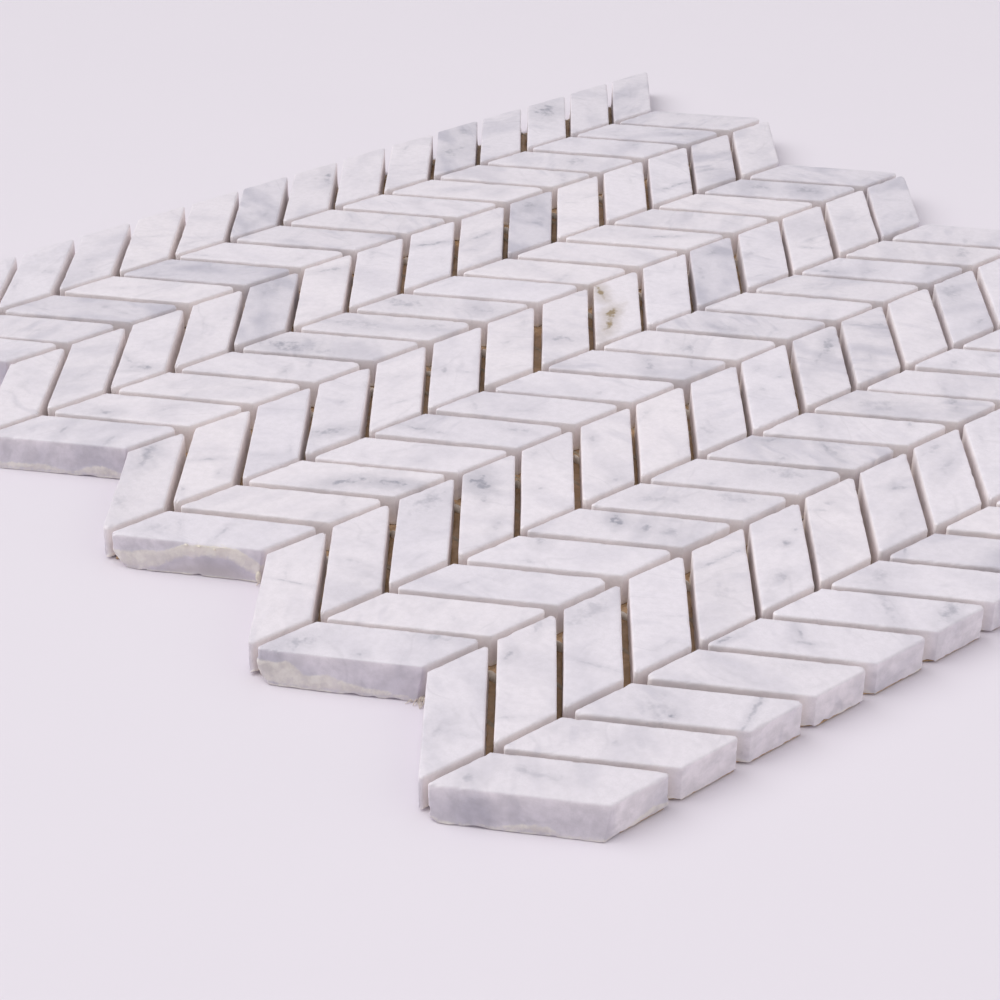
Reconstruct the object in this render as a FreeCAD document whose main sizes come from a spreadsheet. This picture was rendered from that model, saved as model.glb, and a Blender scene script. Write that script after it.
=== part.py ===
import FreeCAD, Part
import math
import os

import Sketcher

# A marble chevron mosaic sheet: columns of leaning stone chips on a backing net.
# X runs along the columns, Y across them, Z up. The origin is the middle of the underside.

doc = FreeCAD.newDocument("chevron_sheet")

# Driving dimensions, in millimetres and degrees
DRIVING_DIMENSIONS = (
    ("columns", 10),
    ("chips_per_column", 15),
    ("column_pitch", 30.0),
    ("chip_pitch", 19.2),
    ("lean_angle", 40.6),
    ("joint_width", 1.6),
    ("chip_thickness", 8.0),
    ("corner_clip", 1.4),
    ("arris_chamfer", 0.5),
    ("net_pitch", 10.0),
    ("strand_width", 1.4),
    ("strand_layer", 0.25),
    ("net_setback", 0.8),
)

sizes = doc.addObject("Spreadsheet::Sheet", "Sizes")
for row, (alias, value) in enumerate(DRIVING_DIMENSIONS, start=1):
    sizes.set(f"A{row}", alias)
    sizes.set(f"B{row}", str(value))
    sizes.setAlias(f"B{row}", alias)
doc.recompute()

# Derived sizes, as expressions of the sheet
SLOPE = "tan(Sizes.lean_angle * 1 deg)"
COSINE = "cos(Sizes.lean_angle * 1 deg)"
CHIP_ACROSS = "(Sizes.column_pitch - Sizes.joint_width)"
CHIP_EDGE = f"(Sizes.chip_pitch - Sizes.joint_width / {COSINE})"
FIRST_CHIP_X = "(-(Sizes.chips_per_column - 1) / 2 * Sizes.chip_pitch)"
NET_THICKNESS = "(2 * Sizes.strand_layer)"
# The net ends inside the chips' outer faces, measured square to each face
HALF_COLUMN_LENGTH = f"(({CHIP_EDGE} - 2 * {FIRST_CHIP_X}) / 2)"
HALF_NET_LENGTH = f"({HALF_COLUMN_LENGTH} - Sizes.net_setback / {COSINE})"
NET_SIDE = f"({CHIP_ACROSS} / 2 - Sizes.net_setback)"
STRIP_SIDE = "(Sizes.column_pitch / 2)"
# The trimming cut reaches past the strip and past the longest strand
TRIM_SIDE = f"({STRIP_SIDE} + Sizes.net_pitch)"
TRIM_END = f"({HALF_NET_LENGTH} + {TRIM_SIDE} * {SLOPE} + Sizes.net_pitch)"

# How the sketcher names the ends of a line and the sketch's own origin
LINE_START = 1
LINE_END = 2
SKETCH_ORIGIN = (-1, 1)


def size(expression):
    """The present value of an expression of the sheet."""
    return float(sizes.evalExpression(expression))


def column_y(column):
    """The middle line of one column, counted from 0 at the low Y side."""
    return f"(({column} - (Sizes.columns - 1) / 2) * Sizes.column_pitch)"


def lean_of(column):
    """Chips of even columns fall towards -X as Y rises; odd columns mirror them."""
    return -1 if column % 2 == 0 else 1


def new_body(label, x, y, z):
    """A body with its own label, placed by expressions of the sheet."""
    body = doc.addObject("PartDesign::Body", label)
    body.Label = label
    body.AllowCompound = True
    body.setExpression("Placement.Base.x", x)
    body.setExpression("Placement.Base.y", y)
    body.setExpression("Placement.Base.z", z)
    return body


def polygon_sketch(body, name, *polygons, level="0"):
    """Closed polygons on the body's base plane, each corner a pair of expressions."""
    sketch = body.newObject("Sketcher::SketchObject", name)
    plane = [item for item in body.Origin.OriginFeatures if item.Role == "XY_Plane"][0]
    sketch.AttachmentSupport = [(plane, "")]
    sketch.MapMode = "FlatFace"
    sketch.setExpression("AttachmentOffset.Base.z", level)
    for corners in polygons:
        add_polygon(sketch, corners)
    return sketch


def add_polygon(sketch, corners):
    """Lines from corner to corner, each start point tied to the sketch's origin."""
    first = sketch.GeometryCount
    points = [FreeCAD.Vector(size(x), size(y), 0) for x, y in corners]
    for start, end in zip(points, points[1:] + points[:1]):
        sketch.addGeometry(Part.LineSegment(start, end))
    for index, (x, y) in enumerate(corners):
        line = first + index
        following = first + (index + 1) % len(corners)
        sketch.addConstraint(
            Sketcher.Constraint("Coincident", line, LINE_END, following, LINE_START))
        tie_point(sketch, "DistanceX", line, LINE_START, points[index].x, x)
        tie_point(sketch, "DistanceY", line, LINE_START, points[index].y, y)


def tie_point(sketch, kind, line, end, value, expression):
    """One coordinate of a line's start or end, driven by an expression."""
    constraint = sketch.addConstraint(Sketcher.Constraint(kind, *SKETCH_ORIGIN, line, end, value))
    name = f"{kind}_{line}_{end}"
    sketch.renameConstraint(constraint, name)
    sketch.setExpression(f"Constraints.{name}", expression)


def leaning_outline(lean, edge, across, middle_x="0", middle_y="0"):
    """A parallelogram: two sides along X, two leaning, about a middle point."""
    run = f"{lean} * {across} * {SLOPE} / 2"
    return [
        (f"{middle_x} - {edge} / 2 - {run}", f"{middle_y} - {across} / 2"),
        (f"{middle_x} + {edge} / 2 - {run}", f"{middle_y} - {across} / 2"),
        (f"{middle_x} + {edge} / 2 + {run}", f"{middle_y} + {across} / 2"),
        (f"{middle_x} - {edge} / 2 + {run}", f"{middle_y} + {across} / 2"),
    ]


def pad(body, name, sketch, length):
    """A sketch raised by a length of the sheet."""
    feature = body.newObject("PartDesign::Pad", name)
    feature.Profile = sketch
    feature.Refine = False
    feature.setExpression("Length", length)
    doc.recompute()
    return feature


def chamfer(body, name, base, edges, length):
    """Bevel the named edges of the feature before."""
    feature = body.newObject("PartDesign::Chamfer", name)
    feature.Base = (base, edges)
    feature.setExpression("Size", length)
    doc.recompute()
    return feature


def row_of(body, name, sketch, axis, original, spacing, count, whole=False):
    """Copies in a row along one axis of a sketch; the row becomes the body's tip."""
    pattern = body.newObject("PartDesign::LinearPattern", name)
    if whole:
        pattern.TransformMode = "Whole shape"
    else:
        pattern.Originals = [original]
    pattern.Direction = (sketch, [axis])
    pattern.Mode = "Spacing"
    pattern.Refine = False
    pattern.setExpression("Offset", spacing)
    pattern.setExpression("Occurrences", count)
    body.Tip = pattern
    doc.recompute()
    return pattern


def sharp_corner_edges(shape):
    """The upright edges at the two acute corners, the ends of the chip along X."""
    upright = []
    for index, edge in enumerate(shape.Edges, start=1):
        if edge.BoundBox.ZLength > edge.BoundBox.DiagonalLength / 2:
            upright.append((edge.CenterOfMass.x, f"Edge{index}"))
    upright.sort()
    return [upright[0][1], upright[-1][1]]


def top_edges(shape):
    """The edges round the honed face."""
    top = shape.BoundBox.ZMax
    flat = shape.BoundBox.ZLength / 4
    return [
        f"Edge{index}"
        for index, edge in enumerate(shape.Edges, start=1)
        if edge.BoundBox.ZMin > top - flat
    ]


def chip_column(column):
    """One column of chips: a sawn parallelogram, blunted, eased and repeated along X."""
    label = f"chip_column_{column + 1:02d}"
    body = new_body(label, FIRST_CHIP_X, column_y(column), NET_THICKNESS)
    outline = leaning_outline(lean_of(column), CHIP_EDGE, CHIP_ACROSS)
    sketch = polygon_sketch(body, f"{label}_outline", outline)
    chip = pad(body, f"{label}_slab", sketch, "Sizes.chip_thickness")
    blunted = chamfer(body, f"{label}_corners", chip, sharp_corner_edges(chip.Shape),
                      "Sizes.corner_clip")
    eased = chamfer(body, f"{label}_arris", blunted, top_edges(blunted.Shape),
                    "Sizes.arris_chamfer")
    row_of(body, f"{label}_row", sketch, "H_Axis", eased, "Sizes.chip_pitch",
           "Sizes.chips_per_column", whole=True)
    return body


def warp_indices(column):
    """Half-pitch numbers of the strands along X whose middle lies under this column."""
    pitch = size("Sizes.net_pitch")
    middle = size(column_y(column))
    reach_low = max(middle - size(STRIP_SIDE), -net_half_width())
    reach_high = min(middle + size(STRIP_SIDE), net_half_width())
    first = math.ceil(reach_low / pitch - 0.5)
    last = math.ceil(reach_high / pitch - 0.5) - 1
    return list(range(first, last + 1))


def net_half_width():
    """The furthest that the middle of a strand may lie from the sheet's middle line."""
    outer_column_y = size("(Sizes.columns - 1) / 2 * Sizes.column_pitch")
    return outer_column_y + size(NET_SIDE) - size("Sizes.strand_width") / 2


def weft_indices(column, warps):
    """Half-pitch numbers of the strands along Y that cross a strand along X here."""
    pitch = size("Sizes.net_pitch")
    end = size(HALF_NET_LENGTH) - size("Sizes.strand_width") / 2
    shifts = [
        lean_of(column) * size(SLOPE) * ((index + 0.5) * pitch - size(column_y(column)))
        for index in warps
    ]
    first = math.ceil((min(shifts) - end) / pitch - 0.5)
    last = math.floor((max(shifts) + end) / pitch - 0.5)
    return list(range(first, last + 1))


def trim_outline(lean, end):
    """The waste past one slanting end of the strip; end is -1 or 1 along X."""
    middle = f"{end} * {HALF_NET_LENGTH}"
    run = f"{lean} * {TRIM_SIDE} * {SLOPE}"
    return [
        (f"{end} * {TRIM_END}", f"-{TRIM_SIDE}"),
        (f"{middle} - {run}", f"-{TRIM_SIDE}"),
        (f"{middle} + {run}", TRIM_SIDE),
        (f"{end} * {TRIM_END}", TRIM_SIDE),
    ]


def net_strip(column):
    """The net under one column: crossing strands in two layers, cut along the zigzag ends."""
    label = f"backing_net_{column + 1:02d}"
    lean = lean_of(column)
    body = new_body(label, "0", column_y(column), "0")
    warps = warp_indices(column)
    wefts = weft_indices(column, warps)

    # Upper layer: strands across the sheet, on which the chips sit
    is_first = column == 0
    is_last = column == int(size("Sizes.columns")) - 1
    low_side = NET_SIDE if is_first else STRIP_SIDE
    high_side = NET_SIDE if is_last else STRIP_SIDE
    weft_x = f"({wefts[0] + 0.5} * Sizes.net_pitch)"
    weft_outline = [
        (f"{weft_x} - Sizes.strand_width / 2", f"-{low_side}"),
        (f"{weft_x} + Sizes.strand_width / 2", f"-{low_side}"),
        (f"{weft_x} + Sizes.strand_width / 2", high_side),
        (f"{weft_x} - Sizes.strand_width / 2", high_side),
    ]
    weft_sketch = polygon_sketch(body, f"{label}_weft", weft_outline, level="Sizes.strand_layer")
    weft = pad(body, f"{label}_weft_strand", weft_sketch, "Sizes.strand_layer")
    weft_row = row_of(body, f"{label}_weft_row", weft_sketch, "H_Axis", weft,
                      "Sizes.net_pitch", str(len(wefts)))

    # The slanting ends are cut off
    trim_sketch = polygon_sketch(body, f"{label}_ends", trim_outline(lean, -1),
                                 trim_outline(lean, 1), level=NET_THICKNESS)
    trim = body.newObject("PartDesign::Pocket", f"{label}_trim")
    trim.Profile = trim_sketch
    trim.Refine = False
    trim.setExpression("Length", "Sizes.strand_layer")
    doc.recompute()
    if trim.Shape.Volume >= weft_row.Shape.Volume:
        raise RuntimeError(f"{label}: the trimming cut took nothing")

    # Lower layer: strands along the columns, each with ends on the slanting cut
    warp_y = f"({warps[0] + 0.5} * Sizes.net_pitch - {column_y(column)})"
    warp_x = f"({lean} * {warp_y} * {SLOPE})"
    warp_outline = leaning_outline(lean, f"(2 * {HALF_NET_LENGTH})", "Sizes.strand_width",
                                   warp_x, warp_y)
    lean_line = Part.LineSegment(
        FreeCAD.Vector(0, 0, 0), FreeCAD.Vector(lean * size(SLOPE), 1, 0))
    warp_sketch = polygon_sketch(body, f"{label}_warp", warp_outline)
    axis = warp_sketch.addGeometry(lean_line, True)
    warp_sketch.addConstraint(Sketcher.Constraint("Coincident", axis, LINE_START, *SKETCH_ORIGIN))
    tie_point(warp_sketch, "DistanceX", axis, LINE_END, lean * size(SLOPE), f"{lean} * {SLOPE}")
    tie_point(warp_sketch, "DistanceY", axis, LINE_END, 1, "1")
    warp = pad(body, f"{label}_warp_strand", warp_sketch, "Sizes.strand_layer")
    row_of(body, f"{label}_warp_row", warp_sketch, "Axis0", warp,
           f"Sizes.net_pitch / {COSINE}", str(len(warps)))
    return body


column_numbers = range(int(size("Sizes.columns")))
sub_parts = [chip_column(column) for column in column_numbers]
sub_parts += [net_strip(column) for column in column_numbers]
doc.recompute()

for item in doc.Objects:
    if "Invalid" in item.State or "Error" in item.State:
        raise RuntimeError(f"{item.Label}: {item.State}")
for item in sub_parts:
    if item.Shape.isNull() or not item.Shape.isValid():
        raise RuntimeError(f"{item.Label}: bad shape")

os.makedirs("parts", exist_ok=True)
for item in sub_parts:
    item.Shape.exportStep(f"parts/{item.Label}.step")
    box = item.Shape.BoundBox
    print(item.Label, len(item.Shape.Solids), round(item.Shape.Volume, 2),
          [round(value, 3) for value in (box.XMin, box.XMax, box.YMin, box.YMax, box.ZMin, box.ZMax)])
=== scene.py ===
"""A mesh-mounted marble chevron sheet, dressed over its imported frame. Lengths are in metres."""

import math

import bpy
import numpy as np
from mathutils import Matrix, Vector


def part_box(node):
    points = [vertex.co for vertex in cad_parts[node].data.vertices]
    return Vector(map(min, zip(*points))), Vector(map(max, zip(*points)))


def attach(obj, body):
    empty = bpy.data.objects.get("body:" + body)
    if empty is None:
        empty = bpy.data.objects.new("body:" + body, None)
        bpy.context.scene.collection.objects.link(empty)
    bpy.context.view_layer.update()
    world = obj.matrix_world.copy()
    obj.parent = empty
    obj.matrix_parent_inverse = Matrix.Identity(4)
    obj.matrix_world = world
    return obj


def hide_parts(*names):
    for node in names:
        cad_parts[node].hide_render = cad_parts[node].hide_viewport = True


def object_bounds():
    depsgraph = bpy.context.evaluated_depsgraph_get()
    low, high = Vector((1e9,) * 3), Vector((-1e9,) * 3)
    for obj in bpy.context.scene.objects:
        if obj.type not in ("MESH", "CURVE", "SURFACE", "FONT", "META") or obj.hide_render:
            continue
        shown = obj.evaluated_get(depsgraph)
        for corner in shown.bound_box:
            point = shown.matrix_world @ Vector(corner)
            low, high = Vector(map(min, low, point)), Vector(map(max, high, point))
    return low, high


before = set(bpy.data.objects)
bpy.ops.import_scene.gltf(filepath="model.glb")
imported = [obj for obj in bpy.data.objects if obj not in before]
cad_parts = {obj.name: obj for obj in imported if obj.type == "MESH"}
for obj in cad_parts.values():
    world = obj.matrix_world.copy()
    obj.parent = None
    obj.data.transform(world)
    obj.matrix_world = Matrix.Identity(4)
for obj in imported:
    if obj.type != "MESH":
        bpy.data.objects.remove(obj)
cad_low, cad_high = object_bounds()

MM = 0.001

# Layout of the sheet, as in the frame
COLUMNS = sum(name.startswith("chip_column_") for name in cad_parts)
CHIPS = 15
COLUMN_PITCH = 30.0 * MM
CHIP_PITCH = 19.2 * MM
LEAN = math.radians(40.6)
JOINT = 1.6 * MM
SLOPE = math.tan(LEAN)
CHIP_ACROSS = COLUMN_PITCH - JOINT
CHIP_EDGE = CHIP_PITCH - JOINT / math.cos(LEAN)
CHIP_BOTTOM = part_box("chip_column_01")[0].z
CHIP_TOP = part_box("chip_column_01")[1].z
NET_PITCH = 10.0 * MM
NET_ROWS = NET_PITCH * (np.arange(-15, 15) + 0.5)
STRAND_WIDTH = 1.4 * MM
STRAND_LAYER = CHIP_BOTTOM / 2
YARN_PHASE = (7000, 5000)

# Glue film round the net: setbacks from the ends and sides, grid cell, and where it is kept
FILM_SETBACK = 2.6 * MM
FILM_SIDE_SETBACK = 0.4 * MM
FILM_CELL = 1.3 * MM
FILM_FLOOR_REACH = 2.2 * MM
FILM_SIDE_REACH = 2.0 * MM
FILM_MOUTH_DEPTH = 2.4 * MM
FILM_MOUTH_HALF = 2.0 * MM
FILM_END_CLEARANCE = 0.6 * MM
FILM_RIM_ROUNDS = 3

# Chips: points and rings of near and other chips, arrises in mm, hollow of the sides, reach of the painted
# light near the top
FINE_STEP = 0.6 * MM
COARSE_STEP = 0.9 * MM
FINE_RINGS = 17
COARSE_RINGS = 5
ARRIS_RANGE = (0.4, 0.56)
SIDE_HOLLOW = 0.14 * MM
TOP_BAND = 0.8 * MM
LIT_DEPTH = 2.0 * MM

# Feet of the near end faces: flare, drop to the table, and reach of a broken tip
FRONT_FLARE = 1.3 * MM
FRONT_DROP = 0.45 * MM
TIP_REACH = 5.0 * MM

# Glue smears: fades below and above, fade of the hollow under an arch, reach and fade of a face
SMEAR_FADE_LOW = 2.4 * MM
SMEAR_FADE_HIGH = 1.0 * MM
HOLLOW_FADE = 3.4 * MM
FACE_REACH = 1.2 * MM
FACE_FADE = 0.6 * MM

# First number of each kind of random draw
CHIP_SEED = 1000
NET_SEED = 7000
FILM_SEED = 9000
FIBRE_SEED = 11000
LUMP_SEED = 12000

# Camera, fitted to the chip corners in the photograph
VIEW_TARGET = Vector((-64.7, -35.4, 0.0)) * MM
VIEW_DISTANCE = 547.9 * MM
VIEW_AZIMUTH = math.radians(39.88)
VIEW_ELEVATION = math.radians(30.83)
VIEW_ROLL = math.radians(0.63)
VIEW_LENS = 80.2
SENSOR_WIDTH = 36.0

# Lights: where each shines from, its spread in degrees or its size in metres, and its strength
KEY_LIGHT = ((-0.49, 0.53, 0.88), 55.0, 1.65)
FILL_LIGHT = ((0.6, -0.65, 0.5), 70.0, 0.55)
OVERHEAD_LIGHT = ((-0.09, -0.04, 0.6), 0.3, 0.25)
SURROUNDINGS = 0.475
TABLE_HALF = 4.0
TABLE_GAP = 0.05 * MM

# Colours of the stone, of what lies on it and of the table
WHITE_COOL = (0.802, 0.75, 0.818, 1)
WHITE_WARM = (0.838, 0.777, 0.83, 1)
CLOUD_GREY = (0.5, 0.475, 0.555, 1)
VEIN_GREY = (0.38, 0.36, 0.41, 1)
MARK_GREY = (0.355, 0.343, 0.405, 1)
MARK_RUST = (0.33, 0.25, 0.16, 1)
HOLLOW_GREY = (0.535, 0.475, 0.49, 1)
SMEAR_DARK = (0.79, 0.705, 0.59, 1)
SMEAR_PALE = (0.88, 0.825, 0.76, 1)
TABLE_DARK = (0.785, 0.732, 0.803, 1)
TABLE_PALE = (0.8, 0.747, 0.815, 1)

# Painted light and shade on the sawn sides: painted light on straight sides, painted shade on zigzag ends,
# warm painted light deep in a joint, and more painted light on both near the top
SIDE_PAINTED_LIGHT = (1.08, 1.07, 1.05, 1)
END_PAINTED_SHADE = (0.85, 0.84, 0.86, 1)
JOINT_PAINTED_LIGHT = (1.14, 1.12, 1.03, 1)
TOP_SIDE_PAINTED_LIGHT = (1.16, 1.15, 1.12, 1)
TOP_JOINT_PAINTED_LIGHT = (1.19, 1.19, 1.13, 1)
NO_TINT = (1, 1, 1, 1)

# Pale and stained colours of the yarns, dark and pale colours of the glue
NET_YARN = ((0.6, 0.5, 0.38, 1), (0.42, 0.32, 0.22, 1))
LOOSE_YARN = ((0.86, 0.78, 0.71, 1), (0.74, 0.63, 0.54, 1))
FILM_GLUE = ((0.5, 0.32, 0.18, 1), (0.64, 0.44, 0.28, 1))
LUMP_GLUE = ((0.84, 0.76, 0.66, 1), (0.94, 0.87, 0.79, 1))

# How grey a chip is, with the column and place of each such chip; the others are drawn at random
GREY_LEVELS = {
    0: ((2, 3), (3, 4), (3, 8), (5, 9)),
    0.1: ((4, 0),),
    0.15: ((2, 0),),
    0.25: ((1, 2), (1, 4), (2, 2), (6, 9), (8, 9)),
    0.3: ((0, 4), (1, 7), (2, 5), (4, 5), (4, 10), (5, 3), (5, 7), (5, 11), (5, 12), (6, 6), (7, 1), (7, 8),
          (8, 11), (9, 3)),
    0.35: ((0, 0), (0, 1), (0, 3), (2, 4), (6, 0)),
    0.4: ((0, 2), (2, 10), (4, 13), (5, 0), (6, 5), (6, 11), (8, 10), (8, 12)),
    0.45: ((2, 6), (3, 12), (4, 4), (4, 12), (9, 7), (9, 11)),
    0.5: ((2, 9), (3, 9), (4, 7), (6, 4), (6, 13), (7, 14), (8, 1), (8, 7)),
    0.55: ((4, 14), (8, 13)),
    0.6: ((0, 7), (4, 11), (9, 13)),
    0.65: ((8, 6), (9, 14)),
    0.7: ((3, 10), (4, 9)),
    0.75: ((2, 7), (5, 14), (7, 13), (8, 14)),
    0.8: ((6, 14), (9, 6)),
    0.85: ((8, 2),),
    1: ((5, 10), (7, 4), (9, 10)),
    1.05: ((7, 9),),
    1.2: ((8, 4),),
}
GREY_CHIPS = {chip: grey for grey, chips in GREY_LEVELS.items() for chip in chips}

# Marks in the stone: place from the chip's middle, length and width in mm, turn in degrees, darkness
STONE_MARKS = {
    (0, 0): ((-0.5, 11.5, 5, 2, -75, 0.4), (-12.3, 10, 4, 3, 0, 0.45), (-1.4, 3.3, 14, 3, -60, 0.35)),
    (0, 2): ((-6.1, 3.3, 12, 8, 60, 0.4), (-4.8, 0, 3, 2.2, 30, 0.95), (9, -9.5, 17, 1.6, 27, 0.6)),
    (0, 3): ((-13.5, 4.6, 2, 1.5, 0, 0.5), (8.4, -4, 8, 3, -50, 0.25)),
    (0, 4): ((-16, 12.4, 6, 1.6, -5, 0.8), (-0.8, 5.1, 8, 1.5, 60, 0.6), (-2.6, 0.5, 5, 1.5, -50, 0.5)),
    (0, 5): ((1.7, -1.3, 14, 3.5, 55, 0.4), (11.7, -10.4, 12, 5, 15, 0.55)),
    (0, 6): ((-9.3, 8.7, 9, 5, 30, 0.4),),
    (0, 7): ((-15.6, 12.8, 5, 1.2, 30, 0.5), (4, -3, 12, 5, 20, 0.4)),
    (1, 0): ((-7.7, -4.5, 5, 4, 0, 0.3), (-4, -8.5, 5, 1.5, -50, 0.3)),
    (1, 1): ((1.7, 7.8, 5, 2.5, 25, 0.75), (14, 12.7, 8, 2, 40, 0.4), (-12.4, -9.5, 7, 1.2, -35, 0.3)),
    (1, 2): ((7.5, 9.6, 16, 7, 10, 0.35), (-5.2, -6.7, 11, 1.3, -65, 0.45)),
    (1, 4): ((5.5, 7.4, 14, 1.6, 0, 0.55), (11.9, 7.4, 2.5, 2, 0, 0.6), (-2.6, -3.1, 12, 8, 45, 0.25)),
    (1, 5): ((4, 2.4, 4, 2, 0, 0.65), (-7.4, -7.2, 5, 4, 0, 0.5), (10.4, 5.1, 3, 1.5, 20, 0.4)),
    (1, 6): ((6.2, 8.3, 4, 4, 0, 0.35),),
    (1, 7): ((5.2, 3.3, 6, 2, -35, 0.55),),
    (1, 8): ((6.3, 10.5, 10, 2.5, 10, 0.35), (2.6, 2.4, 12, 3, 25, 0.3)),
    (2, 0): ((-11.4, 9.6, 12, 5, -10, 0.55), (-4.1, -2.2, 2.5, 2, 0, 0.55), (13.5, -8, 9, 3, -40, 0.45)),
    (2, 3): ((-1.2, 8.7, 5, 4, 40, 0.55), (-8.9, 3.6, 4, 2, -45, 0.35)),
    (2, 4): ((-0.8, 4.2, 5, 4, 60, 1.15), (2.9, -2.2, 7, 3, 30, 0.7), (5.6, -7.6, 7, 5, 30, 0.45)),
    (2, 5): ((-5.5, 5.1, 14, 4, -50, 0.35), (9, -5.8, 14, 5, -50, 0.35)),
    (2, 6): ((8, -5.8, 14, 6, -50, 0.4), (-9.2, 2.8, 4, 2, -40, 0.35)),
    (2, 7): ((-2, 9.2, 6, 3, -20, 0.6), (6.2, -3, 12, 3, 70, 0.55), (-6.5, 0.5, 3, 3, 0, 0.45)),
    (2, 8): ((-6.5, 6, 8, 2, 50, 0.4), (12.6, -7.2, 4, 2, 40, 0.45)),
    (2, 9): ((-6.5, 5, 16, 8, -50, 0.35), (10.7, -6.7, 10, 3, 50, 0.5)),
    (2, 11): ((-10.5, 7.8, 7, 3, 20, 0.45),),
    (3, 0): ((0.9, 1, 11, 1, -59, 0.4),),
    (3, 2): ((9.4, 8.7, 14, 8, 15, 0.45),),
    (3, 3): ((4.3, 8.3, 8, 5, 60, 1.2), (1, 2.5, 5, 2.5, 50, 0.55), (-5.3, -9.5, 8, 2, 35, 0.35)),
    (3, 4): ((-5.3, -3.1, 3, 2, 0, 0.4), (4.6, 11, 4, 3, 0, 0.3)),
    (3, 5): ((1.8, 7.4, 4, 2, 50, 0.4), (-7.8, -11.3, 4, 2.5, 0, 0.45)),
    (3, 7): ((-10.2, -6.7, 10, 5, 45, 0.35),),
    (3, 8): ((3.5, 8.3, 3, 2.5, 0, 0.4), (-3.3, -0.4, 3, 3, 0, 0.4), (5.4, 1.5, 2, 1.5, 0, 0.4)),
    (3, 9): ((8.9, 6, 12, 3, 35, 0.7), (1.6, 2.4, 10, 2, 30, 0.45)),
    (3, 10): ((10.5, 6, 5, 3, -20, 0.6), (6, 9.6, 8, 3, -40, 0.35), (-6.7, -5.8, 8, 2, 45, 0.35)),
    (3, 12): ((3, 6.9, 14, 7, 45, 0.4), (-4.2, -9.5, 6, 2, 20, 0.4)),
    (4, 0): ((-5, 6.9, 6, 1.5, 60, 0.45), (0.5, -2.2, 9, 1.5, 25, 0.4), (-9.5, 8.7, 9, 6, 0, 0.3)),
    (4, 2): ((-1.5, -1.3, 13, 3.2, -20, 0.85), (6.6, -8.5, 11, 3, -45, 1.2)),
    (4, 4): ((-10.4, 9.6, 8, 2, -65, 0.6), (-7.2, 4.2, 6, 1.5, -60, 0.4), (9.2, -7.6, 8, 2.5, -60, 0.45)),
    (4, 7): ((2.5, -1.3, 11, 3.5, 55, 0.65), (11.5, -8.5, 6, 2, 40, 0.35)),
    (4, 8): ((-1.9, -1.3, 8, 6, 60, 0.55),),
    (4, 9): ((-4.7, 0, 14, 4, -50, 0.35),),
    (4, 12): ((-13.3, 9.6, 7, 3, -45, 0.55), (-4.2, 1.5, 8, 5, 0, 0.3), (11, -7.6, 6, 3, 40, 0.4)),
    (4, 13): ((7.5, -6.7, 10, 6, 30, 0.45),),
    (5, 0): ((6.8, 9.6, 12, 4, 40, 0.6), (-10.5, -4.9, 10, 5, 45, 0.3)),
    (5, 1): ((-2.8, -1.3, 8, 1.5, -30, 0.4), (-4.2, -9, 3, 1.5, 60, 0.5), (-15.5, -10.4, 3, 1.5, 40, 0.45)),
    (5, 3): ((-8.9, -8.5, 12, 4, -20, 0.75), (2.5, 2.4, 2.5, 1.5, 0, 0.4)),
    (5, 5): ((-4, -0.4, 4, 2.5, 45, 0.45), (0, -4.9, 3, 1.5, -45, 0.35)),
    (5, 7): ((-6.6, -5.8, 9, 5, -45, 0.6),),
    (5, 8): ((-4.2, -2.2, 7, 3.4, 30, 1.2), (2.5, 9.5, 11, 2.8, 62, 1), (-9.5, -7, 13, 3.2, 38, 0.9)),
    (5, 10): ((8.3, 8.7, 5, 3, -20, 0.6), (-5, 0.5, 10, 3, 50, 0.4)),
    (5, 12): ((-6, -5.4, 5, 1.5, -50, 0.5), (-1.5, -2.6, 4, 1.5, 40, 0.45)),
    (6, 0): ((-3.6, 3.7, 7, 2, 30, 0.5), (2.3, -8.5, 7, 2, 30, 0.35)),
    (6, 1): ((-9.2, 5.1, 5, 3, -50, 0.55),),
    (6, 3): ((0.6, -4.5, 4, 1.8, 30, 0.55), (9.3, -4, 10, 2, 45, 0.3)),
    (6, 4): ((-9, 6.9, 16, 8, -50, 0.7), (-3.5, -2, 8, 4, -50, 0.35)),
    (6, 5): ((-5.5, 6, 18, 6, -50, 0.4), (10, -8.5, 12, 6, -50, 0.4)),
    (6, 6): ((-7.5, 8.7, 14, 7, -50, 0.5), (7.1, -8.5, 12, 5, -50, 0.45)),
    (6, 10): ((5, -4, 14, 2, -35, 0.5),),
    (6, 13): ((-4.3, 6, 10, 6, -60, 0.5), (5.7, -5.8, 12, 7, -45, 0.6)),
    (7, 2): ((-7.5, -9.5, 7, 3, -35, 0.75), (-8, -3, 7, 1.5, 80, 0.35)),
    (7, 4): ((7.4, 9.6, 10, 7, 20, 0.4),),
    (7, 5): ((8.6, 9.2, 9, 2.5, -20, 0.55),),
    (7, 7): ((4.3, 5.1, 12, 2.5, -20, 0.65),),
    (7, 8): ((0.8, 0.5, 14, 2, 5, 0.55),),
    (7, 9): ((8, 9.6, 8, 6, 30, 0.65), (0.7, -2.2, 8, 3, -50, 0.4)),
    (7, 12): ((-6, -7.6, 14, 1.8, 0, 0.55),),
    (7, 13): ((7.5, 2.4, 3, 2, 0, 0.45), (-7, -4, 6, 3, -40, 0.35)),
    (8, 11): ((3.2, -2.2, 8, 6, 0, 0.45),),
    (8, 13): ((6.6, -6.7, 10, 4, -60, 0.45),),
    (9, 7): ((10, 5, 12, 3, 55, 0.65),),
    (9, 10): ((11.5, 9.6, 12, 5, 20, 0.4), (-3, -2.2, 12, 6, 10, 0.55)),
    (9, 12): ((5.8, 6.9, 14, 8, 45, 0.8),),
}
MARK_SLOTS = ("stone_mark_a", "stone_mark_b", "stone_mark_c")
RUST_CHIP = (5, 8)

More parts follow.
